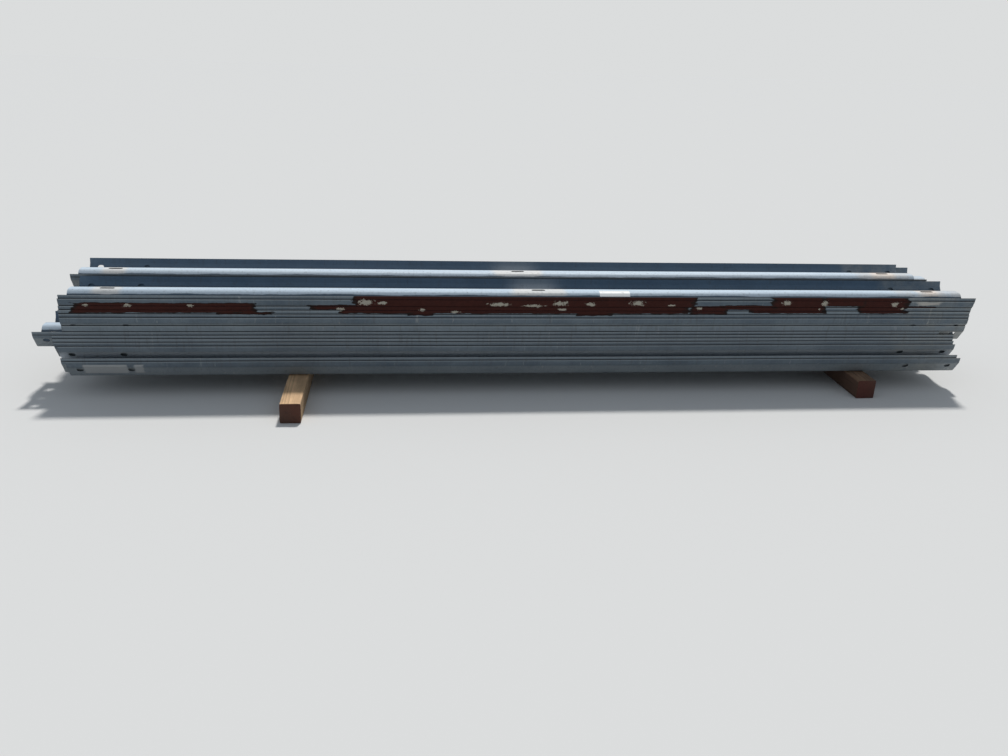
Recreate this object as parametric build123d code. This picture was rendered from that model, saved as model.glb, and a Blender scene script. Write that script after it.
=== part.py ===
from build123d import *
from math import cos, radians, sin, tan
import os

os.makedirs("parts", exist_ok=True)

# A storage bundle of used W-beam guardrail rails. Two stacks of nested rails
# lie side by side, edges up, across two timber bearers.
# Millimetres. X runs along the rails, Y across them, Z up from the ground.

# Folded section of a rail: two crests, a flat middle ridge and two lips
sheet = 2.67
rail_depth = 83.0
crest_spacing = 194.0
slope_angle = 55.0
lip_angle = 80.0
lip_height = 23.6
fold_radius = 24.0
lip_radius = 9.0

# Rail length: the post spacing in the fence plus one lap
post_spacing = 3810.0
lap_length = 317.5
rail_length = post_spacing + lap_length

# Splice slots: one in each sloping leg, in two rows near each end
splice_length = 29.0
splice_width = 23.0
splice_end_distance = 50.8
splice_row_spacing = 215.9
splice_depth = 41.0

# Post bolt slots: in the middle ridge, at both laps and half way between
post_slot_length = 64.0
post_slot_width = 19.0

# How each rail lies on the one below it, counted upwards.
# A lift is height above a tight nest, a slide is the shift of its middle along X.
nest_lifts = [0, 32, 2, 0, 0, 0, 13, 25, 0, 2, 2, 18, 0]
near_slides = [1, -19, -30, -42, -48, -48, -127, -2, -2, -2, -3, 0, 3, 7]
far_slides = [6, -8, -14, -22, -30, -12, -25, -9, 4, 10, -3, 7, 22, -46]

# Clearances between pieces that lie on each other
nest_gap = 0.1
rest_gap = 0.3
stack_gap = 30.0

# Timber bearers, squared and cut to one length.
# An inset runs from the end of a rail to the timber, an overhang from the near stack to its end.
bearer_side = 89.0
bearer_length = 1219.0
left_bearer_inset = 973.0
left_bearer_overhang = 297.0
left_bearer_turn = 1.2
right_bearer_inset = 498.0
right_bearer_overhang = 79.0
right_bearer_turn = -0.5

# Worked out from the sizes above, on the sheet's upper face
slope = tan(radians(slope_angle))
lip_slope = tan(radians(lip_angle))
crest_y = crest_spacing / 2
crest_z = sheet - rail_depth - fold_radius * (1 / cos(radians(slope_angle)) - 1)
ridge_y = crest_y + crest_z / slope
lip_y = crest_y - (crest_z + lip_height) / slope
tip_y = lip_y + lip_height / lip_slope
rail_width = 2 * (tip_y + sheet * sin(radians(lip_angle)))
nest_pitch = (sheet + nest_gap) / cos(radians(lip_angle))


def rail_section():
    """The folded sheet as a closed outline, from its upper face down."""
    half = [(tip_y, 0), (lip_y, -lip_height), (crest_y, crest_z), (ridge_y, 0)]
    upper_face = [(-y, z) for y, z in half] + half[::-1]
    side_bends = [lip_radius, fold_radius, fold_radius + sheet]
    with BuildSketch(Plane.YZ) as section:
        with BuildLine():
            FilletPolyline(*upper_face, radius=side_bends + side_bends[::-1])
            offset(amount=sheet, side=Side.RIGHT)
        make_face()
    return section.sketch


def slot_cutter(length, width, clipped):
    """A prism through the sheet. Clipped corners follow the slot's round ends."""
    outline = Rectangle(length, width)
    if clipped:
        octagon_clip = width * (1 - tan(radians(22.5))) / 2
        outline = chamfer(outline.vertices(), octagon_clip)
    return extrude(outline, amount=fold_radius / 2, both=True)


def splice_cutters(clipped):
    """Four slots across the rail in each of four rows, square to their legs."""
    cutter = slot_cutter(splice_length, splice_width, clipped)
    outer_leg_y = crest_y - (crest_z + splice_depth) / slope
    inner_leg_y = crest_y + (crest_z + splice_depth) / slope
    first_row = rail_length / 2 - splice_end_distance
    rows = [first_row, first_row - splice_row_spacing]
    cutters = []
    for x in rows + [-x for x in rows]:
        for side in (-1, 1):
            outer = Location((x, side * outer_leg_y, -splice_depth), (side * slope_angle, 0, 0))
            inner = Location((x, side * inner_leg_y, -splice_depth), (-side * slope_angle, 0, 0))
            cutters += [outer * cutter, inner * cutter]
    return cutters


def post_cutters(clipped):
    """Long slots through the flat of the middle ridge."""
    cutter = slot_cutter(post_slot_length, post_slot_width, clipped)
    return [Pos(x, 0, 0) * cutter for x in (-post_spacing / 2, 0, post_spacing / 2)]


def make_rail(clipped):
    """A rail with all of its slots."""
    return blank_rail - splice_cutters(clipped) - post_cutters(clipped)


def side_room(pitch):
    """How far a rail can slide sideways before it meets the lip of the one below."""
    past_lip = pitch / lip_slope - sheet / sin(radians(lip_angle))
    past_leg = lip_height / lip_slope + (pitch - lip_height) / slope
    past_leg -= sheet / sin(radians(slope_angle))
    return max(past_lip, past_leg)


def stack_places(slides):
    """Where each rail's middle lies, from the bottom rail up.

    A loosely nested rail leans over until one of its lips rests on the rail
    below, each time towards the middle of the stack.
    """
    y = 0
    z = bearer_side + rest_gap + rail_depth
    places = [(slides[0], y, z)]
    for slide, lift in zip(slides[1:], nest_lifts):
        pitch = nest_pitch + lift
        lean = max(side_room(pitch) - rest_gap, 0)
        y += -lean if y > 0 else lean
        z += pitch
        places.append((slide, y, z))
    return places


def make_bearer(end_x, overhang, turn):
    """A square timber on the ground, turned about its near end."""
    end_y = -(stack_gap / 2 + rail_width + overhang)
    from_end = (Align.CENTER, Align.MIN, Align.MIN)
    timber = Box(bearer_side, bearer_length, bearer_side, align=from_end)
    return Pos(end_x, end_y, 0) * Rot(0, 0, -turn) * timber


# Three patterns of rail: without slots where the stack covers them, with square
# slots at the bottom and where one rail juts out, and with clipped ones on top
blank_rail = extrude(rail_section(), amount=rail_length / 2, both=True)
low_rail = make_rail(clipped=False)
top_rail = make_rail(clipped=True)

left_bearer_x = left_bearer_inset - rail_length / 2
right_bearer_x = rail_length / 2 - right_bearer_inset
pieces = {
    "left_bearer": make_bearer(left_bearer_x, left_bearer_overhang, left_bearer_turn),
    "right_bearer": make_bearer(right_bearer_x, right_bearer_overhang, right_bearer_turn),
}
stack_y = (rail_width + stack_gap) / 2
for name, slides, middle_y in (("near", near_slides, -stack_y), ("far", far_slides, stack_y)):
    places = stack_places(slides)
    jutting = slides.index(min(slides))
    for level, (x, y, z) in enumerate(places):
        pattern = blank_rail
        if level in (0, jutting):
            pattern = low_rail
        if level == len(places) - 1:
            pattern = top_rail
        pieces[f"{name}_rail_{level + 1:02d}"] = Pos(x, middle_y + y, z) * pattern

# The origin is the middle of the bundle's footprint, on the ground
footprint = Compound(list(pieces.values())).bounding_box()
to_origin = Pos(-footprint.center().X, -footprint.center().Y, -footprint.min.Z)
for name, piece in pieces.items():
    export_step(to_origin * piece, f"parts/{name}.step")
print("bundle", footprint.size, "moved by", to_origin.position)
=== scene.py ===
"""Two stacks of used W-beam guardrail rails, nested edges up, on two timber bearers.

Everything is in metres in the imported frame: X along the rails, Y across them, Z up.
"""

import bpy
import numpy as np
from math import cos, pi, radians, sin, tan
from mathutils import Matrix, Vector


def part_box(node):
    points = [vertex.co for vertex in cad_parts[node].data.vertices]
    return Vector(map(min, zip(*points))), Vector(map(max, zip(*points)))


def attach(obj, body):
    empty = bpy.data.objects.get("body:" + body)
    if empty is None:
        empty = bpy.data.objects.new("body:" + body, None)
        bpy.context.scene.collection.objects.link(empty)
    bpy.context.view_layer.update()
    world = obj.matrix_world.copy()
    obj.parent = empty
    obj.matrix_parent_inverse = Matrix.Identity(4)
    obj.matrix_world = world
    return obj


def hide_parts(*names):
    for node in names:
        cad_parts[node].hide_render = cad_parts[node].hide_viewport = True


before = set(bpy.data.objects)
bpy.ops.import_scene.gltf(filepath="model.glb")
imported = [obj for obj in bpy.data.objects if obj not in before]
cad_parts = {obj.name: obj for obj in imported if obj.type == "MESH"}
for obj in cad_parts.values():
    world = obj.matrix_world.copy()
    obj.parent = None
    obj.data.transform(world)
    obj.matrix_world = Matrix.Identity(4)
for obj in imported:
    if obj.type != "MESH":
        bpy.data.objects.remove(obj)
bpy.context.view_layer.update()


# Timber bearers: two lengths of sawn softwood, 89 mm square, laid loose on the ground.
# Their edges are a little rounded, the sawn faces a little uneven, and the cut ends
# show growth rings. The left one is browner, the right one redder at its end. The right
# one's top and sides are painted dark, as painted shadow of the bundle that covers it.

bearer_side = 0.089
bearer_length = 1.219
bearer_edge = 0.004
end_edge = 0.002
end_shrink = 0.975
rows_along = 160
points_around = 72
edge_crowding = 0.14
wander_depth = 0.0004
saw_mark_depth = 0.00015
rings_per_metre = 210.0
grime = (0.06, 0.04, 0.028, 1)
bearers = {
    "left_bearer": {
        "turn": 1.2,
        "heart": (0.01, -0.055),
        "wave": 3.0,
        "top": (0.7, 0.46, 0.26, 1),
        "side": (0.44, 0.29, 0.16, 1),
        "end": (0.085, 0.028, 0.015, 1),
    },
    "right_bearer": {
        "turn": -0.5,
        "heart": (-0.02, -0.075),
        "wave": 8.0,
        # Painted shadow: this bearer lies under the bundle, so its top and sides are painted dark.
        "top": (0.25, 0.15, 0.09, 1),
        "side": (0.1, 0.05, 0.03, 1),
        "end": (0.08, 0.021, 0.013, 1),
    },
}
crease_angle = radians(38)


def build_mesh(name, points, quads, sheet_map=None, marks=None):
    """A mesh from an array of points and an array of four-cornered faces.

    Each point may also have two numbers, kept as a UV map, and single numbers,
    each kept as an attribute under its name.
    """
    used = np.unique(quads)
    renumber = np.zeros(len(points), dtype=np.int64)
    renumber[used] = np.arange(len(used))
    corners = renumber[quads].ravel()
    mesh = bpy.data.meshes.new(name)
    mesh.vertices.add(len(used))
    mesh.vertices.foreach_set("co", points[used].astype(np.float32).ravel())
    mesh.loops.add(len(corners))
    mesh.loops.foreach_set("vertex_index", corners.astype(np.int32))
    mesh.polygons.add(len(quads))
    mesh.polygons.foreach_set("loop_start", np.arange(0, len(corners), 4, dtype=np.int32))
    if sheet_map is not None:
        layer = mesh.uv_layers.new(name="sheet")
        layer.uv.foreach_set("vector", sheet_map[used][corners].astype(np.float32).ravel())
    for label, values in (marks or {}).items():
        attribute = mesh.attributes.new(label, "FLOAT", "POINT")
        attribute.data.foreach_set("value", values[used].astype(np.float32))
    mesh.update(calc_edges=True)
    mesh.validate()
    mesh.shade_smooth()
    mesh.set_sharp_from_angle(angle=crease_angle)
    piece = bpy.data.objects.new(name, mesh)
    bpy.context.scene.collection.objects.link(piece)
    return piece


def grid_quads(numbers):
    """The four-cornered faces of a grid of point numbers, counterclockwise."""
    a, b = numbers[:-1, :-1], numbers[1:, :-1]
    c, d = numbers[1:, 1:], numbers[:-1, 1:]
    return np.stack([a, b, c, d], axis=-1).reshape(-1, 4)


def timber_points(along, around, wave):
    """Surface of a sawn timber, with x and z across it and y along it.

    At angle t the square of half side h lies h / max(|cos t|, |sin t|) from the middle.
    What reaches past h - r both ways is drawn in to an arc of the edge's radius r. Slow
    waves and saw marks then move the surface inwards, by 0.4 mm (1 + sin(9 y + 2 t + wave))
    and 0.15 mm (1 + sin(310 y + sin(23 y))).
    """
    y, t = np.meshgrid(along, around, indexing="ij")
    half = bearer_side / 2
    inner = half - bearer_edge
    reach = half / np.maximum(np.abs(np.cos(t)), np.abs(np.sin(t)))
    x, z = reach * np.cos(t), reach * np.sin(t)
    past_x, past_z = np.maximum(np.abs(x) - inner, 0), np.maximum(np.abs(z) - inner, 0)
    at_edge = (past_x > 0) & (past_z > 0)
    pull = np.where(at_edge, bearer_edge / np.maximum(np.hypot(past_x, past_z), bearer_edge), 1)
    x = np.sign(x) * (np.minimum(np.abs(x), inner) + past_x * pull)
    z = np.sign(z) * (np.minimum(np.abs(z), inner) + past_z * pull)
    wander = wander_depth * (1 + np.sin(9 * y + 2 * t + wave))
    saw_marks = saw_mark_depth * (1 + np.sin(310 * y + np.sin(23 * y)))
    shrink = 1 - (wander + saw_marks) / half
    return np.stack([x * shrink, y, z * shrink], axis=-1)


def timber_rows(wave):
    """Rings of points from one cut end to the other, each end closed by smaller rings.

    The points of a ring stand closer near the timber's edges: t = u - 0.14 sin(4 u),
    with u in even steps. A narrow slope of 2 mm runs round each cut end.
    """
    half_length = bearer_length / 2
    slope_rings = half_length - end_edge * np.array([0, 0.3, 1])
    sawn_rings = np.linspace(-1, 1, rows_along) * (half_length - 3 * end_edge)
    along = np.concatenate([-slope_rings, sawn_rings, slope_rings[::-1]])
    even = 2 * pi * np.arange(points_around) / points_around
    skin = timber_points(along, even - edge_crowding * np.sin(4 * even), wave)
    skin[[0, -1]] *= [end_shrink, 1, end_shrink]
    smaller = np.array([[[k, 1, k]] for k in (0.75, 0.5, 0.25, 0.02)])
    return np.concatenate([skin[:1] * smaller[::-1], skin, skin[-1:] * smaller])


def put(tree, kind, options=None, inputs=None):
    """Adds a shader node. Inputs are values, or outputs of other nodes to join."""
    item = tree.nodes.new(kind)
    for name, value in (options or {}).items():
        setattr(item, name, value)
    for name, value in (inputs or {}).items():
        if isinstance(value, bpy.types.NodeSocket):
            tree.links.new(value, item.inputs[name])
        else:
            item.inputs[name].default_value = value
    return item


def maths(tree, operation, first, second=0.0, clamp=False):
    """The result of one sum on two numbers."""
    options = {"operation": operation, "use_clamp": clamp}
    return put(tree, "ShaderNodeMath", options, {0: first, 1: second}).outputs[0]


def times(tree, first, second):
    """The product of two numbers."""
    return maths(tree, "MULTIPLY", first, second)


def plus(tree, first, second, share=1.0):
    """The first number with a share of the second added to it."""
    if share != 1.0:
        second = times(tree, second, share)
    return maths(tree, "ADD", first, second)


def opposite(tree, value):
    """What a share leaves of one."""
    return maths(tree, "SUBTRACT", 1.0, value)


def vector_maths(tree, operation, first, second):
    """The vector that one sum on two vectors gives."""
    return put(tree, "ShaderNodeVectorMath", {"operation": operation}, {0: first, 1: second}).outputs[0]


def split(tree, vector):
    """The three numbers of a vector."""
    return put(tree, "ShaderNodeSeparateXYZ", None, {0: vector}).outputs


def blend(tree, factor, first, second, mode="MIX"):
    """One colour mixed into another."""
    options = {"data_type": "RGBA", "blend_type": mode}
    return put(tree, "ShaderNodeMix", options, {0: factor, 6: first, 7: second}).outputs[2]


def cover(tree, colour, over, mask, strength, mode="MIX"):
    """A colour with another laid over it, where the mask says and as strongly as given."""
    return blend(tree, times(tree, mask, strength), colour, over, mode)


def ramp(tree, value, low, high):
    """Zero below low, one above high, and smooth between them."""
    options = {"interpolation_type": "SMOOTHSTEP"}
    return put(tree, "ShaderNodeMapRange", options, {0: value, 1: low, 2: high}).outputs[0]


def noise(tree, vector, scale, detail=3.0, rough=0.55, stretch=None):
    """Soft random values from 0 to 1, on a vector that may be stretched first."""
    if stretch:
        vector = vector_maths(tree, "MULTIPLY", vector, stretch)
    inputs = {"Vector": vector, "Scale": scale, "Detail": detail, "Roughness": rough}
    return put(tree, "ShaderNodeTexNoise", None, inputs).outputs[0]


def new_group(name, takes, gives):
    """An empty node group with named inputs and outputs."""
    tree = bpy.data.node_groups.new(name, "ShaderNodeTree")
    for label, kind in takes.items():
        tree.interface.new_socket(label, in_out="INPUT", socket_type="NodeSocket" + kind)
    for label, kind in gives.items():
        tree.interface.new_socket(label, in_out="OUTPUT", socket_type="NodeSocket" + kind)
    start = tree.nodes.new("NodeGroupInput")
    end = tree.nodes.new("NodeGroupOutput")
    return tree, start.outputs, end.inputs


def use_group(tree, group, inputs):
    """Places a node group with its own values."""
    return put(tree, "ShaderNodeGroup", {"node_tree": group}, inputs).outputs


def new_material(name):
    """An empty material, its nodes, and the place of each point of the piece."""
    material = bpy.data.materials.new(name)
    material.use_nodes = True
    tree = material.node_tree
    tree.nodes.clear()
    return material, tree, put(tree, "ShaderNodeTexCoord").outputs["Object"]


def mark(tree, name):
    """A number that the mesh keeps for each of its points."""
    return put(tree, "ShaderNodeAttribute", {"attribute_name": name}).outputs["Fac"]


def bump(tree, strength, distance, height):
    """The normal of a surface that is uneven by a height."""
    inputs = {"Strength": strength, "Distance": distance, "Height": height}
    return put(tree, "ShaderNodeBump", None, inputs).outputs[0]


def join_shader(tree, inputs):
    """The shader of a material, with its inputs, joined to the material's output."""
    shader = put(tree, "ShaderNodeBsdfPrincipled", None, inputs)
    put(tree, "ShaderNodeOutputMaterial", None, {"Surface": shader.outputs[0]})


def wood_grain():
    """Node group: how light the wood is, from its rings, its fibres and its checks.

    Growth rings stand about the heart of the log. They hardly change along the fibres, so
    they are rings on a cut end and long lines on a sawn face. Checks are dark cracks where
    the weather has opened the wood.
    """
    takes = {"Place": "Vector", "Heart": "Vector"}
    tree, given, wanted = new_group("wood grain", takes, {"Light": "Float"})
    place = given["Place"]
    from_heart = vector_maths(tree, "SUBTRACT", place, given["Heart"])
    warp = noise(tree, from_heart, 3.0, stretch=(1, 0.3, 1))
    flat = vector_maths(tree, "MULTIPLY", from_heart, (1, 0.02, 1))
    radius = put(tree, "ShaderNodeVectorMath", {"operation": "LENGTH"}, {0: flat}).outputs[1]
    radius = plus(tree, radius, warp, 0.012)
    rings = maths(tree, "FRACT", times(tree, radius, rings_per_metre))
    fibre = noise(tree, place, 260.0, detail=4.0, rough=0.6, stretch=(1, 0.03, 1))
    cracks = noise(tree, place, 70.0, detail=2.0, rough=0.5, stretch=(1, 0.05, 1))
    checks = ramp(tree, cracks, 0.62, 0.7)
    light = plus(tree, times(tree, rings, 0.45), fibre, 0.55)
    light = maths(tree, "SUBTRACT", light, times(tree, checks, 0.35), clamp=True)
    tree.links.new(light, wanted["Light"])
    return tree


grain_group = wood_grain()


def wood_material(name, middle, look):
    """Sawn wood: a lighter weathered top, brown sides, and a dark stained end."""
    material, tree, place = new_material(name)
    heart = (middle.x + look["heart"][0], 0, middle.z + look["heart"][1])
    grain = use_group(tree, grain_group, {"Place": place, "Heart": heart})["Light"]
    colour = blend(tree, mark(tree, "top_face"), look["side"], look["top"])
    colour = blend(tree, mark(tree, "cut_end"), colour, look["end"])
    shade = put(tree, "ShaderNodeMapRange", None, {0: grain, 3: 0.5, 4: 1.5}).outputs[0]
    inputs = {0: colour, "Scale": shade}
    colour = put(tree, "ShaderNodeVectorMath", {"operation": "SCALE"}, inputs).outputs[0]
    blotches = noise(tree, place, 9.0, detail=4.0, rough=0.6, stretch=(1, 0.35, 1))
    colour = cover(tree, colour, grime, ramp(tree, blotches, 0.42, 0.7), 0.4)
    normal = bump(tree, 0.5, 0.0012, grain)
    join_shader(tree, {"Base Color": colour, "Roughness": 0.82, "Normal": normal})
    return material


for node, look in bearers.items():
    low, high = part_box(node)
    middle = (low + high) / 2
    rows = timber_rows(look["wave"])
    numbers = np.arange(rows.shape[0] * rows.shape[1]).reshape(rows.shape[:2])
    quads = grid_quads(np.concatenate([numbers, numbers[:, :1]], axis=1))
    turn = radians(-look["turn"])
    x, y, z = rows.reshape(-1, 3).T
    points = np.stack([
        middle.x + x * cos(turn) - y * sin(turn),
        middle.y + x * sin(turn) + y * cos(turn),
        middle.z + z,
    ], axis=1)
    marks = {
        "top_face": np.clip((2 * z / bearer_side - 0.88) / 0.08, 0, 1),
        "cut_end": np.clip(2 * (np.abs(y) - bearer_length / 2 + end_edge) / end_edge, 0, 1),
    }
    timber = build_mesh(node + "_wood", points, quads, marks=marks)
    timber.data.materials.append(wood_material(node + "_wood", middle, look))
    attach(timber, "root")
    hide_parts(node)


# Rails: one zinc-coated steel sheet each, 2.67 mm thick, rolled into two crests, a flat
# middle ridge and two steep lips, then slotted: four rows of four splice slots, and three
# post slots in the ridge. The rails lie loose on each other and sag a little together.

sheet = 0.00267
rail_depth = 0.083
rail_length = 4.1275
crest_y = 0.097
slope = radians(55)
inner_slope = radians(50)
lip_slope = radians(80)
lip_height = 0.0236
ridge_drop = 0.012
fold_radius = 0.024
lip_radius = 0.009
post_spacing = 3.81
splice_rows = (2.01295, 1.79705)
splice_depth = 0.041
splice_slot = (0.029, 0.023)
post_slot = (0.064, 0.019)
rails_in_stack = 14
sag = 0.0012
long_bow = 0.0015
short_bow = 0.0005

# The half section: straights and arcs from the middle of the ridge to the edge of a lip,
# each with its length and its turn. The ridge lies lower than the lips' edges. The crest's
# arc is centred on crest_y, and the inner leg joins it to the ridge's arc at its slope.
crest_bottom = sheet - rail_depth
ridge_radius = fold_radius + sheet
both_radii = fold_radius + ridge_radius
inner_rise = -ridge_drop - crest_bottom - both_radii * (1 - cos(inner_slope))
inner_leg = inner_rise / sin(inner_slope)
ridge_flat = crest_y - both_radii * sin(inner_slope) - inner_leg * cos(inner_slope)
lip_cut = lip_radius * tan((lip_slope - slope) / 2)
outer_rise = -crest_bottom - lip_height - fold_radius * (1 - cos(slope)) - lip_cut * sin(slope)
outer_leg = outer_rise / sin(slope)
bends = [
    (ridge_flat, 0),
    (ridge_radius * inner_slope, -inner_slope),
    (inner_leg, 0),
    (fold_radius * (inner_slope + slope), inner_slope + slope),
    (outer_leg, 0),
    (lip_radius * (lip_slope - slope), lip_slope - slope),
    (lip_height / sin(lip_slope) - lip_cut, 0),
]
bend_starts = np.concatenate([[0], np.cumsum([length for length, turn in bends])])
lip_bend, lip_straight, half_girth = bend_starts[5:]


def folded(across):
    """Point and upward normal of the upper face, at a distance across the sheet from its middle.

    The face is a chain of straights and arcs, each with a length l and a turn t.
    From a start with heading a, the step over a distance d is d (cos a, sin a) on
    a straight, and (sin(a + k d) - sin a, cos a - cos(a + k d)) / k on an arc,
    with k = t / l. The other half is its mirror image.
    """
    distance = np.abs(across)
    y, heading = np.zeros_like(distance), np.zeros_like(distance)
    z = np.full_like(distance, -ridge_drop)
    a = 0.0
    for begin, (length, turn) in zip(bend_starts, bends):
        d = np.clip(distance - begin, 0, length)
        k = turn / length
        if turn == 0:
            y += d * cos(a)
            z += d * sin(a)
        else:
            y += (np.sin(a + k * d) - sin(a)) / k
            z += (cos(a) - np.cos(a + k * d)) / k
        heading += k * d
        a += turn
    side = np.where(across < 0, -1.0, 1.0)
    return side * y, z, -side * np.sin(heading), np.cos(heading)


# Slots: each takes the place of a window of four by four cells in the sheet's grid.
# A window has its middle along the rail and across the sheet, its half sizes both ways,
# and the slot's length and width.
post_window = 0.04
splice_window = (0.02, 0.017)
longest_step = 0.075
facet_turn = radians(10)
edge_strip = 0.006
inner_arc_rise = ridge_radius * (1 - cos(inner_slope))
inner_slot = bend_starts[2] + (splice_depth - ridge_drop - inner_arc_rise) / sin(inner_slope)
crest_arc_rise = fold_radius * (1 - cos(slope))
outer_slot = bend_starts[4] + (-splice_depth - crest_bottom - crest_arc_rise) / sin(slope)
post_rows = (-post_spacing / 2, 0, post_spacing / 2)
windows = [(x, 0, post_window, ridge_flat, post_slot) for x in post_rows]
for row in splice_rows:
    for x in (-row, row):
        for s in (-outer_slot, -inner_slot, inner_slot, outer_slot):
            windows.append((x, s, *splice_window, splice_slot))


def spread(marks, step):
    """The marks with even steps put between them, none longer than the step given."""
    counts = [int(np.ceil((b - a) / step - 1e-6)) for a, b in zip(marks, marks[1:])]
    parts = [np.linspace(a, b, n + 1)[:-1] for a, b, n in zip(marks, marks[1:], counts)]
    return np.concatenate(parts + [marks[-1:]])


def grid_lines():
    """Where the lines of the sheet's grid lie, along the rail and across the sheet.

    Along the rail they lie at the quarters of each window and elsewhere at most 75 mm
    apart. Across the sheet they lie at the quarters too, at the ends of each straight,
    at every 10 degrees of an arc, and 6 mm inside the edge.
    """
    quarters = np.array([-1, -0.5, 0, 0.5, 1])
    x_marks = {round(x + q * half_x, 6) for x, s, half_x, half_s, size in windows for q in quarters}
    x_marks |= {-rail_length / 2, rail_length / 2}
    s_marks = [0, ridge_flat / 2, half_girth - edge_strip, half_girth]
    for (length, turn), begin in zip(bends, bend_starts):
        facets = max(1, round(abs(turn) / facet_turn))
        s_marks += list(begin + length * np.arange(facets) / facets)
    for s in (inner_slot, outer_slot):
        s_marks += list(s + splice_window[1] * quarters)
    s_marks = np.unique(np.round(s_marks, 7))
    lines_x = spread(np.array(sorted(x_marks)), longest_step)
    return lines_x, np.concatenate([-s_marks[:0:-1], s_marks])


def flat_pattern(lines_x, lines_s):
    """The sheet before it is folded: its points, and the faces of its sides and edges.

    The sixteen points round a window are joined in turn to sixteen points of the slot's
    edge, x = w / 2 cos t + (l - w) / 2 sgn(cos t) and s = w / 2 sin t, for a slot of length
    l and width w. The lower side is the upper one turned over, and strips join the two
    along the slots and all round the sheet.
    """
    grid_x, grid_s = np.meshgrid(lines_x, lines_s, indexing="ij")
    numbers = np.arange(grid_x.size).reshape(grid_x.shape)
    cells = np.ones((len(lines_x) - 1, len(lines_s) - 1), dtype=bool)
    border_i = np.array([4, 3, 2, 1, 0, 0, 0, 0, 0, 1, 2, 3, 4, 4, 4, 4])
    border_j = np.array([4, 4, 4, 4, 4, 3, 2, 1, 0, 0, 0, 0, 0, 1, 2, 3])
    t = pi / 4 + pi / 8 * np.arange(16)
    points_x, points_s = [grid_x.ravel()], [grid_s.ravel()]
    quads, edges = [], []
    count = grid_x.size
    for x, s, half_x, half_s, (length, width) in windows:
        i = int(np.argmin(np.abs(lines_x - (x - half_x))))
        j = int(np.argmin(np.abs(lines_s - (s - half_s))))
        cells[i:i + 4, j:j + 4] = False
        straight = (length - width) / 2 * np.sign(np.round(np.cos(t), 9))
        points_x.append(x + width / 2 * np.cos(t) + straight)
        points_s.append(s + width / 2 * np.sin(t))
        border = numbers[i + border_i, j + border_j]
        rim = count + np.arange(16)
        count += 16
        quads.append(np.stack([border, np.roll(border, -1), np.roll(rim, -1), rim], axis=1))
        edges.append(np.stack([rim, np.roll(rim, -1)], axis=1))
    upper = np.concatenate(quads + [grid_quads(numbers)[cells.ravel()]])
    for line in (numbers[:, -1], numbers[::-1, 0], numbers[-1, ::-1], numbers[0]):
        edges.append(np.stack([line[:-1], line[1:]], axis=1))
    edges = np.concatenate(edges)
    strips = np.concatenate([edges, edges[:, ::-1] + count], axis=1)
    faces = np.concatenate([upper, upper[:, ::-1] + count, strips])
    return np.concatenate(points_x), np.concatenate(points_s), faces


left_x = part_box("left_bearer")[1].x
right_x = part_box("right_bearer")[0].x


def laid(x, y, z):
    """Points of a rail as it lies in the stack.

    Between the timbers the rails sink by 1.2 mm sin^2(pi u), u running from 0 to 1.
    They also bow sideways by 1.5 mm sin(1.1 x) + 0.5 mm sin(5.3 x).
    """
    u = np.clip((x - left_x) / (right_x - left_x), 0, 1)
    bow = long_bow * np.sin(1.1 * x) + short_bow * np.sin(5.3 * x)
    return np.stack([x, y + bow, z - sag * np.sin(pi * u) ** 2], axis=-1).reshape(-1, 3)


# Weathered zinc, with light and shade painted in. The sides have dulled to a dark grey. The middle
# ridge is pale, partly washed by rain and partly painted light from the sun on it, and its bend is
# painted darker as shade. Each colour runs from its darkest tone to its palest.
zinc_tones = {
    "lip": ((0.065, 0.091, 0.12, 1), (0.184, 0.226, 0.258, 1)),
    # Painted light: the outer legs are lighter than the lips for the light from the ground below.
    "leg": ((0.15, 0.178, 0.2, 1), (0.275, 0.308, 0.325, 1)),
    # Painted shade and sky reflection: the trough's inside is dark blue.
    "trough": ((0.078, 0.128, 0.188, 1), (0.146, 0.216, 0.295, 1)),
    "ridge": ((0.53, 0.64, 0.75, 1), (0.67, 0.775, 0.87, 1)),
    # Painted shade: the ridge's bend is darker than its flat, as it turns away from the light.
    "shaded ridge bend": ((0.36, 0.44, 0.52, 1), (0.46, 0.535, 0.6, 1)),
}
scuff = (0.42, 0.43, 0.42, 1)
rubbed_edge = (0.28, 0.32, 0.345, 1)
hollow_painted_light = (0.6, 0.66, 0.72, 1)
trough_painted_shade = (0.02, 0.033, 0.048, 1)
trough_painted_glow = (0.42, 0.46, 0.5, 1)
dirt_run = (0.11, 0.105, 0.1, 1)
painted_gap_shade = (0.02, 0.02, 0.022, 1)

# What the colour is multiplied by: at the post slots, with a painted sheen at the ridge's middle, and
# where another rail covered it
post_stain_and_sheen = (1.32, 1.1, 0.93, 1)
lapped_ridge = (1.08, 0.92, 0.8, 1)
lapped_inside = (2.3, 1.7, 1.3, 1)
lapped_outside = (1.25, 1.14, 1.03, 1)

# Where one finish, or one band of painted light and shade, passes into the next, across the sheet from
# its middle
ridge_flat_to_bend = (0.006, 0.03)
pale_to_dark = (0.052, 0.058)
leg_to_lip = (lip_bend - 0.012, lip_straight)
deep_to_lip = (0.18, 0.19)
lip_to_rubbed = (half_girth - 0.007, half_girth - 0.003)

# The same along the rail, from its middle or from a post slot
glow_end = (0.06, 0.19)
stain_end = (0.08, 0.12)
middle_sheen_end = (0.15, 0.19)
lap_start = (1.77, 1.84)

# The same up from the edge of the rail below
# Painted shadow in the gap just above the edge of the rail below.
crevice_top = (0.0005, 0.0035)
# Painted light in the hollow above the edge of a loosely laid rail.
hollow_top = (-0.005, 0.03)


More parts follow.
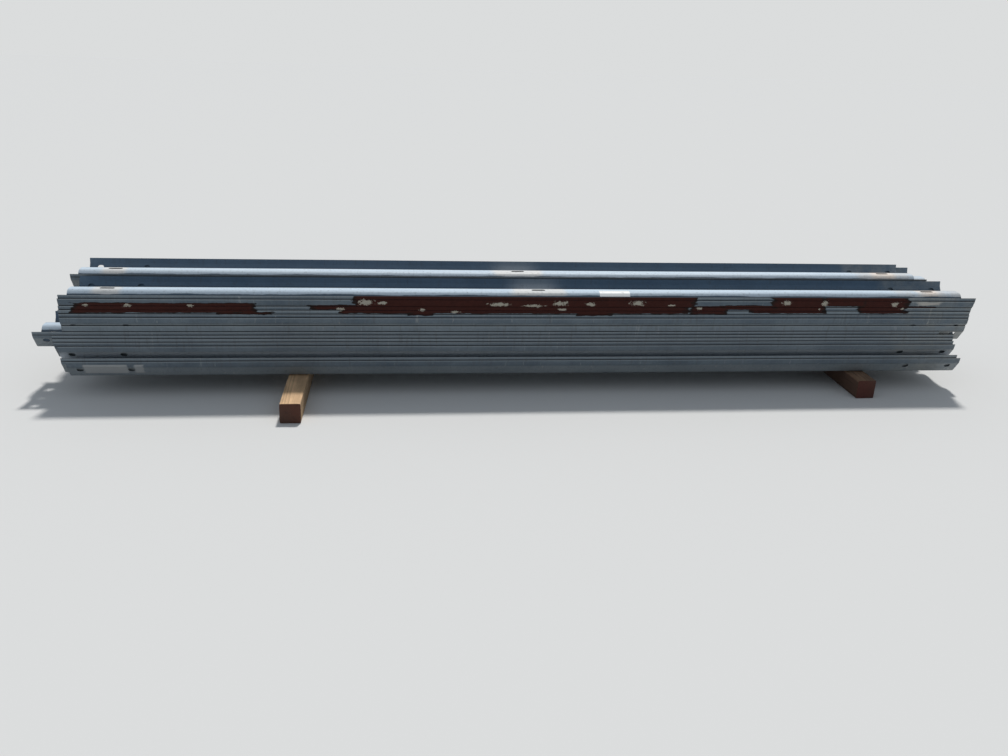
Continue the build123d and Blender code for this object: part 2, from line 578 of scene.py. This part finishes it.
def outside_zinc(tree, given, across, tone):
    """The outside of legs and lips, the legs painted lighter as light from the ground, scuffed, and
    rubbed paler along the lip's edge.

    Where a rail lies loosely, the hollow above the next edge is painted pale, as painted light over its
    shade.
    """
    leg, lip = (blend(tree, tone, *zinc_tones[name]) for name in ("leg", "lip"))
    # Painted light: the legs face down, so they are painted lighter than the lips.
    colour = blend(tree, ramp(tree, across, *leg_to_lip), leg, lip)
    scuffs = noise(tree, given["Place"], 55.0, detail=4.0, rough=0.7, stretch=(1, 1, 0.08))
    colour = cover(tree, colour, scuff, ramp(tree, scuffs, 0.6, 0.72), 0.35)
    colour = cover(tree, colour, rubbed_edge, ramp(tree, across, *lip_to_rubbed), 0.5)
    hollow = opposite(tree, ramp(tree, given["Above"], *hollow_top))
    return cover(tree, colour, hollow_painted_light, hollow, times(tree, given["Loose"], 0.85))


def trough_zinc(tree, along, across, tone, clouds):
    """The inside of the troughs, painted dark blue as shade and sky reflection, and darker still
    deep in the trough below the lips as painted shade. A painted glow lies half way along, the
    reflection of the ridge's sheen.

    The glow fades down the outer leg, and by half towards the lip's edge.
    """
    colour = blend(tree, tone, *zinc_tones["trough"])
    # Painted shade, deepest in the trough.
    deep = opposite(tree, ramp(tree, across, *deep_to_lip))
    colour = cover(tree, colour, trough_painted_shade, deep, 0.7)
    # Painted glow: the ridge's sheen reflected on the lips half way along.
    painted_light_half_way = opposite(tree, ramp(tree, plus(tree, along, clouds, 0.05), *glow_end))
    on_leg = ramp(tree, across, 0.13, 0.18)
    on_edge = ramp(tree, across, 0.18, 0.225)
    strength = times(tree, on_leg, plus(tree, 0.95, on_edge, -0.55))
    return cover(tree, colour, trough_painted_glow, painted_light_half_way, strength)


def ridge_zinc(tree, along, across, tone, clouds):
    """The pale ridge, palest on its flat, partly a rain wash and partly painted light; its bend is
    painted darker as shade. Warm staining from the post lies at each slot, and a painted warm
    sheen of the sun lies at the middle.
    """
    flat, bend = (blend(tree, tone, *zinc_tones[name]) for name in ("ridge", "shaded ridge bend"))
    colour = blend(tree, ramp(tree, across, *ridge_flat_to_bend), flat, bend)
    from_slot = maths(tree, "PINGPONG", along, post_spacing / 4)
    at_slots = opposite(tree, ramp(tree, plus(tree, from_slot, clouds, 0.09), *stain_end))
    # Painted sheen: the warm pale patch at the ridge's middle stands for the sun's reflection.
    painted_light_half_way = opposite(tree, ramp(tree, plus(tree, along, clouds, 0.09), *middle_sheen_end))
    stain_and_sheen = maths(tree, "MAXIMUM", at_slots, painted_light_half_way)
    return cover(tree, colour, post_stain_and_sheen, stain_and_sheen, 0.85, "MULTIPLY")


def weathered_zinc():
    """Node group: the look of old zinc, with light and shade painted in, from its place on the rail.

    Sheet is the point's place on the flat sheet, Under is 1 on the lower side of the sheet,
    and Above is its height over the edge of the rail below. Tone makes a rail paler, and
    Loose is 1 where it lies loosely on the next.
    """
    takes = {
        "Place": "Vector",
        "Sheet": "Vector",
        "Under": "Float",
        "Above": "Float",
        "Tone": "Float",
        "Loose": "Float",
    }
    gives = {"Color": "Color", "Roughness": "Float", "Metallic": "Float", "Height": "Float"}
    tree, given, wanted = new_group("weathered zinc", takes, gives)
    place, under = given["Place"], given["Under"]
    along, across = (maths(tree, "ABSOLUTE", number) for number in split(tree, given["Sheet"])[:2])
    clouds = noise(tree, place, 5.0, detail=5.0, rough=0.62)
    drawn = noise(tree, given["Sheet"], 60.0, detail=4.0, rough=0.6, stretch=(0.03, 1, 1))
    runs = noise(tree, place, 90.0, detail=3.0, rough=0.6, stretch=(1, 1, 0.1))
    crystals = put(tree, "ShaderNodeTexVoronoi", None, {"Vector": place, "Scale": 110.0})
    spangle = split(tree, crystals.outputs["Color"])[0]
    tone = plus(tree, times(tree, ramp(tree, clouds, 0.3, 0.7), 0.35), drawn, 0.35)
    tone = plus(tree, plus(tree, tone, spangle, 0.1), given["Tone"])

    inside = trough_zinc(tree, along, across, tone, clouds)
    dull = blend(tree, under, inside, outside_zinc(tree, given, across, tone))
    # Pale ridge: partly a rain wash, partly painted light from the sun on it.
    on_ridge = opposite(tree, ramp(tree, plus(tree, across, clouds, 0.02), *pale_to_dark))
    on_ridge = times(tree, on_ridge, opposite(tree, under))
    colour = blend(tree, on_ridge, dull, ridge_zinc(tree, along, across, tone, clouds))

    # Dirt in runs, painted shadow in the gap line above the next rail's edge, and painted shade on the
    # sheared edges
    dirt = times(tree, ramp(tree, runs, 0.5, 0.75), 0.3)
    colour = blend(tree, dirt, colour, dirt_run)
    height = maths(tree, "ABSOLUTE", plus(tree, given["Above"], clouds, -0.003))
    gap_shadow = opposite(tree, ramp(tree, height, *crevice_top))
    gap_shadow = times(tree, gap_shadow, maths(tree, "SUBTRACT", under, given["Loose"], clamp=True))
    rim_shade = ramp(tree, maths(tree, "PINGPONG", under, 0.5), 0.0, 0.05)
    colour = cover(tree, colour, painted_gap_shade, maths(tree, "MAXIMUM", gap_shadow, rim_shade), 0.85)

    rough = plus(tree, plus(tree, times(tree, clouds, 0.2), dirt, 0.3), 0.44)
    tree.links.new(colour, wanted["Color"])
    tree.links.new(plus(tree, rough, on_ridge, 0.02), wanted["Roughness"])
    tree.links.new(plus(tree, 0.28, on_ridge, -0.13), wanted["Metallic"])
    tree.links.new(plus(tree, clouds, runs, 0.2), wanted["Height"])
    return tree


zinc_group = weathered_zinc()


# Old coat: a dark brown coating on the front lips of the near stack's upper rails, flaked
# and scraped. The lowest rail has pale patches where stickers were. Places run along X
# from the near stack's middle, and up from the ground.
near_low, near_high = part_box("near_rail_01")
lowest_slide = 0.001
stack_x = (near_low.x + near_high.x) / 2 - lowest_slide
front_y = near_low.y
front_depth = 0.03
coat_browns = ((0.027, 0.008, 0.006, 1), (0.058, 0.014, 0.01, 1))
coat_border = (0.014, 0.01, 0.008, 1)
flake_bare = (0.36, 0.34, 0.285, 1)
scrape_pale = (0.46, 0.44, 0.4, 1)
patch_pale = (0.4, 0.41, 0.41, 1)

# Left and right ends, bottom and top
coats = [
    (-2.02, -1.24, 0.392, 0.441),
    (-1.43, -1.18, 0.386, 0.4),
    (-1.03, -0.83, 0.406, 0.432),
    (-0.9, 0.69, 0.391, 0.434),
    (-0.84, 0.72, 0.42, 0.48),
    (-0.6, -0.48, 0.382, 0.41),
    (0.16, 0.33, 0.382, 0.41),
    (0.68, 0.87, 0.388, 0.432),
    (0.82, 1.02, 0.412, 0.436),
    (0.97, 1.12, 0.396, 0.436),
    (1.06, 1.35, 0.394, 0.48),
    (1.3, 1.55, 0.43, 0.48),
    (1.5, 1.75, 0.394, 0.48),
    (1.7, 1.9, 0.423, 0.434),
]
scrapes = [(1.77, 1.92, 0.434, 0.456)]
patches = [(-2.0, -1.806, 0.108, 0.158), (-1.788, -1.739, 0.11, 0.158)]

# Middle, height, half length and half height
flakes = [
    (-1.95, 0.427, 0.014, 0.008),
    (-1.785, 0.427, 0.019, 0.008),
    (-1.522, 0.427, 0.016, 0.007),
    (-0.89, 0.411, 0.02, 0.01),
    (-0.777, 0.445, 0.038, 0.014),
    (-0.706, 0.442, 0.024, 0.008),
    (-0.532, 0.41, 0.016, 0.007),
    (-0.387, 0.4, 0.027, 0.006),
    (-0.188, 0.436, 0.05, 0.01),
    (-0.03, 0.43, 0.046, 0.008),
    (0.084, 0.442, 0.034, 0.013),
    (0.096, 0.412, 0.018, 0.006),
    (0.224, 0.438, 0.024, 0.01),
    (0.44, 0.444, 0.038, 0.013),
    (0.6, 0.434, 0.018, 0.005),
    (0.734, 0.42, 0.016, 0.008),
    (1.145, 0.447, 0.027, 0.012),
    (1.329, 0.445, 0.017, 0.014),
    (1.31, 0.416, 0.006, 0.006),
    (1.673, 0.442, 0.022, 0.013),
    (1.715, 0.418, 0.013, 0.006),
]


def flaked_coat():
    """Node group: the ragged distance inside the border of one field of coat.

    It is the least of the distances to the four sides, those to the ends counted at 0.15
    so that they fray, with noise added.
    """
    takes = {"Place": "Vector", "Ragged": "Float"}
    takes |= {side: "Float" for side in ("Left", "Right", "Bottom", "Top")}
    tree, given, wanted = new_group("flaked coat", takes, {"Depth": "Float"})
    x, y, z = split(tree, given["Place"])
    from_left = maths(tree, "SUBTRACT", x, given["Left"])
    from_right = maths(tree, "SUBTRACT", given["Right"], x)
    from_bottom = maths(tree, "SUBTRACT", z, given["Bottom"])
    from_top = maths(tree, "SUBTRACT", given["Top"], z)
    depth = times(tree, maths(tree, "MINIMUM", from_left, from_right), 0.15)
    depth = maths(tree, "MINIMUM", depth, from_bottom)
    depth = maths(tree, "MINIMUM", depth, from_top)
    fray = noise(tree, given["Place"], 30.0, detail=5.0, rough=0.6, stretch=(0.6, 1, 1.5))
    fray = maths(tree, "SUBTRACT", fray, 0.5)
    depth = plus(tree, depth, times(tree, fray, given["Ragged"]))
    tree.links.new(depth, wanted["Depth"])
    return tree


def bare_flake():
    """Node group: a small ragged oval where the coat has come away.

    With u and v the distances from its middle over its half length and half height, it
    lies where sqrt(u^2 + v^2) with noise added is less than about 1.
    """
    takes = {"Place": "Vector"}
    takes |= {size: "Float" for size in ("Middle X", "Middle Z", "Half Length", "Half Height")}
    tree, given, wanted = new_group("bare flake", takes, {"Mask": "Float"})
    x, y, z = split(tree, given["Place"])
    u = maths(tree, "DIVIDE", maths(tree, "SUBTRACT", x, given["Middle X"]), given["Half Length"])
    v = maths(tree, "DIVIDE", maths(tree, "SUBTRACT", z, given["Middle Z"]), given["Half Height"])
    reach = maths(tree, "SQRT", plus(tree, times(tree, u, u), times(tree, v, v)))
    fray = maths(tree, "SUBTRACT", noise(tree, given["Place"], 80.0, detail=5.0, rough=0.8), 0.45)
    reach = plus(tree, reach, fray, 4.0)
    tree.links.new(opposite(tree, ramp(tree, reach, 0.9, 1.05)), wanted["Mask"])
    return tree


coat_group = flaked_coat()
flake_group = bare_flake()


def depth_in(tree, place, ragged, fields):
    """How deep a point lies in the deepest of several fields."""
    deepest = -1.0
    for left, right, bottom, top in fields:
        inputs = {"Place": place, "Ragged": ragged, "Bottom": bottom, "Top": top}
        inputs |= {"Left": stack_x + left, "Right": stack_x + right}
        deepest = maths(tree, "MAXIMUM", deepest, use_group(tree, coat_group, inputs)["Depth"])
    return deepest


def on_front(tree, place, under):
    """One on the outside of the near stack's front lips, zero elsewhere."""
    near_front = maths(tree, "LESS_THAN", split(tree, place)[1], front_y + front_depth)
    return times(tree, near_front, under)


def lapped(tree, place, sheet_map, under, colour):
    """Zinc that is paler and browner at the right end, where the next rail covered it."""
    along, across = split(tree, sheet_map)[:2]
    cloud = noise(tree, place, 9.0, detail=5.0, rough=0.65)
    lap = ramp(tree, plus(tree, along, cloud, 0.12), *lap_start)
    lap = times(tree, lap, ramp(tree, cloud, 0.3, 0.65))
    on_lip = ramp(tree, maths(tree, "ABSOLUTE", across), 0.1, 0.15)
    lip_gain = blend(tree, under, lapped_inside, lapped_outside)
    gain = blend(tree, on_lip, lapped_ridge, lip_gain)
    return cover(tree, colour, gain, lap, 0.85, "MULTIPLY")


def patched(tree, place, under, colour):
    """Zinc with pale patches where stickers were."""
    mask = ramp(tree, depth_in(tree, place, 0.003, patches), 0.0, 0.0015)
    return cover(tree, colour, patch_pale, times(tree, mask, on_front(tree, place, under)), 0.8)


def coated(tree, place, under, colour):
    """Zinc with scrapes and with the old coat and its flakes, and where the coat lies."""
    front = on_front(tree, place, under)
    scraped = ramp(tree, depth_in(tree, place, 0.016, scrapes), 0.0, 0.007)
    colour = cover(tree, colour, scrape_pale, times(tree, scraped, front), 0.8)
    depth = depth_in(tree, place, 0.016, coats)
    paint = blend(tree, noise(tree, place, 60.0), *coat_browns)
    paint = blend(tree, ramp(tree, depth, 0.001, 0.006), coat_border, paint)
    bare = 0.0
    for x, z, half_length, half_height in flakes:
        inputs = {"Place": place, "Middle X": stack_x + x, "Middle Z": z}
        inputs |= {"Half Length": half_length, "Half Height": half_height}
        bare = maths(tree, "MAXIMUM", bare, use_group(tree, flake_group, inputs)["Mask"])
    paint = blend(tree, bare, paint, flake_bare)
    mask = times(tree, ramp(tree, depth, 0.0, 0.0015), front)
    return blend(tree, mask, colour, paint), mask


def zinc_material(name, tone, loose=False, has_patches=False, has_coat=False):
    """The weathered zinc of one kind of rail, with what lies on it."""
    material, tree, place = new_material(name)
    sheet_map = put(tree, "ShaderNodeUVMap", {"uv_map": "sheet"}).outputs[0]
    under = mark(tree, "under")
    inputs = {"Place": place, "Sheet": sheet_map, "Under": under, "Above": mark(tree, "above")}
    zinc = use_group(tree, zinc_group, {**inputs, "Tone": tone, "Loose": float(loose)})
    rough, metal = zinc["Roughness"], zinc["Metallic"]
    colour = lapped(tree, place, sheet_map, under, zinc["Color"])
    if has_patches:
        colour = patched(tree, place, under, colour)
    if has_coat:
        colour, mask = coated(tree, place, under, colour)
        rough = maths(tree, "ADD", rough, times(tree, mask, 0.3), clamp=True)
        metal = times(tree, opposite(tree, mask), metal)
    join_shader(tree, {
        "Base Color": colour,
        "Roughness": rough,
        "Metallic": metal,
        "Specular IOR Level": 0.2 if has_coat else 0.5,
        "Normal": bump(tree, 0.2, 0.0015, zinc["Height"]),
    })
    return material


rail_tones = (0.05, 0.3, -0.05)
first_coated = 9
loose_pitch = 0.045
plain_zincs, coated_zincs = [], []
for number, tone in enumerate(rail_tones):
    plain_zincs.append(zinc_material(f"zinc_{number}", tone))
    coated_zincs.append(zinc_material(f"coated_zinc_{number}", tone, has_coat=True))
marked_zinc = zinc_material("marked_zinc", rail_tones[2], has_patches=True)
# Loose rails: their hollows are painted pale, as painted light over the shade there.
hollow_lit_zinc = zinc_material("hollow_lit_zinc", rail_tones[0], loose=True)


def zinc_of(stack, level, pitch):
    """The zinc of a rail, from its stack, its level and its height over the rail below."""
    if stack == "near" and level == 1:
        return marked_zinc
    if level > 1 and pitch > loose_pitch:
        return hollow_lit_zinc
    if stack == "near" and level == rails_in_stack:
        return coated_zincs[0]
    zincs = coated_zincs if stack == "near" and level >= first_coated else plain_zincs
    return zincs[level * 5 % len(rail_tones)]


# Both sides of the sheet, the upper one first, folded but not yet laid in the stack
flat_x, flat_s, faces = flat_pattern(*grid_lines())
upper_y, upper_z, normal_y, normal_z = folded(flat_s)
rail_x = np.concatenate([flat_x, flat_x])
rail_y = np.concatenate([upper_y, upper_y - sheet * normal_y])
rail_z = np.concatenate([upper_z, upper_z - sheet * normal_z])
rail_map = np.concatenate([np.stack([flat_x, flat_s], axis=1)] * 2)
for stack in ("near", "far"):
    edge_below = -1.0
    for level in range(1, rails_in_stack + 1):
        node = f"{stack}_rail_{level:02d}"
        low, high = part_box(node)
        middle = (low + high) / 2
        pitch = high.z - edge_below
        edge_below = high.z
        points = laid(middle.x + rail_x, middle.y + rail_y, high.z + rail_z)
        marks = {"under": np.repeat([0.0, 1.0], len(flat_x)), "above": rail_z + pitch}
        rail = build_mesh(node + "_sheet", points, faces, rail_map, marks)
        rail.data.materials.append(zinc_of(stack, level, pitch))
        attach(rail, "root")
        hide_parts(node)


# Label: a blank sticker of white plastic film, smudged and a little wrinkled. It is stuck
# over the front bend of the near top rail's ridge.

label_ends = (0.289, 0.432)
label_sides = (-0.049, -0.006)
label_lift = 0.00025
label_points = 25
film_white = (0.96, 0.96, 0.95, 1)
film_smudge = (0.55, 0.53, 0.49, 1)
low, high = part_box(f"near_rail_{rails_in_stack}")
along = stack_x + np.linspace(*label_ends, label_points)
x, s = np.meshgrid(along, np.linspace(*label_sides, label_points), indexing="ij")
y, z, normal_y, normal_z = folded(s)
y = (low.y + high.y) / 2 + y + label_lift * normal_y
z = high.z + z + label_lift * normal_z
label = build_mesh("blank_label", laid(x, y, z), grid_quads(np.arange(x.size).reshape(x.shape)))
material, film, place = new_material("white_film")
smudge = ramp(film, noise(film, place, 55.0, detail=5.0, rough=0.65), 0.48, 0.72)
wrinkles = noise(film, place, 120.0, detail=3.0, rough=0.5, stretch=(0.3, 1, 1))
join_shader(film, {
    "Base Color": cover(film, film_white, film_smudge, smudge, 0.3),
    "Roughness": plus(film, 0.42, smudge, 0.3),
    "Normal": bump(film, 0.3, 0.0006, wrinkles),
})
label.data.materials.append(material)
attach(label, "root")


# Floor: a plain pale sheet under the timbers, which keeps the bundle's shadow.
# It isn't part of the object.

bpy.ops.mesh.primitive_plane_add(size=60, location=(0, 0, 0))
floor = bpy.context.object
floor.name = "floor"
material = bpy.data.materials.new("pale_floor")
material.use_nodes = True
shader = material.node_tree.nodes["Principled BSDF"]
shader.inputs["Base Color"].default_value = (0.72, 0.72, 0.71, 1)
shader.inputs["Roughness"].default_value = 0.9
shader.inputs["Specular IOR Level"].default_value = 0.1
floor.data.materials.append(material)


# Light: a broad high lamp behind the bundle and to its right, as in the photograph. The
# sky lights the bundle softly, and the camera sees a surround of the floor's own shade.

lamp_height = radians(64.5)
lamp_turn = radians(22)
lamp_data = bpy.data.lights.new("key", "SUN")
lamp_data.energy = 2.36
lamp_data.angle = radians(6)
lamp_data.color = (1.0, 0.98, 0.95)
lamp = bpy.data.objects.new("key", lamp_data)
level_part = cos(lamp_height)
towards = Vector((sin(lamp_turn) * level_part, cos(lamp_turn) * level_part, sin(lamp_height)))
lamp.rotation_euler = towards.to_track_quat("Z", "Y").to_euler()
bpy.context.scene.collection.objects.link(lamp)
world = bpy.data.worlds.new("surround")
bpy.context.scene.world = world
world.use_nodes = True
tree = world.node_tree
tree.nodes.clear()
seen = put(tree, "ShaderNodeLightPath").outputs["Is Camera Ray"]
sky = put(tree, "ShaderNodeBackground", None, {"Color": (0.82, 0.9, 1.0, 1), "Strength": 0.38})
back = put(tree, "ShaderNodeBackground", None, {"Color": (0.708, 0.7205, 0.7225, 1), "Strength": 1.0})
both = put(tree, "ShaderNodeMixShader", None, {0: seen, 1: sky.outputs[0], 2: back.outputs[0]})
put(tree, "ShaderNodeOutputWorld", None, {"Surface": both.outputs[0]})


# Camera: where the photographer stood, found from the rails' known sizes.
# Its place is given from the middle of the near stack.

camera_from_stack = Vector((-0.6677, -4.1397, 1.6107))
camera_turn = radians(-7.3218)
camera_tilt = radians(-20.8003)
camera_roll = radians(2.2453)
camera_data = bpy.data.cameras.new("camera")
camera_data.sensor_width = 36
camera_data.lens = 33.46
camera = bpy.data.objects.new("camera", camera_data)
bpy.context.scene.collection.objects.link(camera)
stack_middle = Vector((stack_x, (near_low.y + near_high.y) / 2, 0))
aim = Matrix.Rotation(camera_turn, 4, "Z") @ Matrix.Rotation(pi / 2 + camera_tilt, 4, "X")
aim = aim @ Matrix.Rotation(camera_roll, 4, "Z")
camera.matrix_world = Matrix.Translation(stack_middle + camera_from_stack) @ aim
bpy.context.scene.camera = camera
bpy.context.scene.view_settings.view_transform = "Standard"
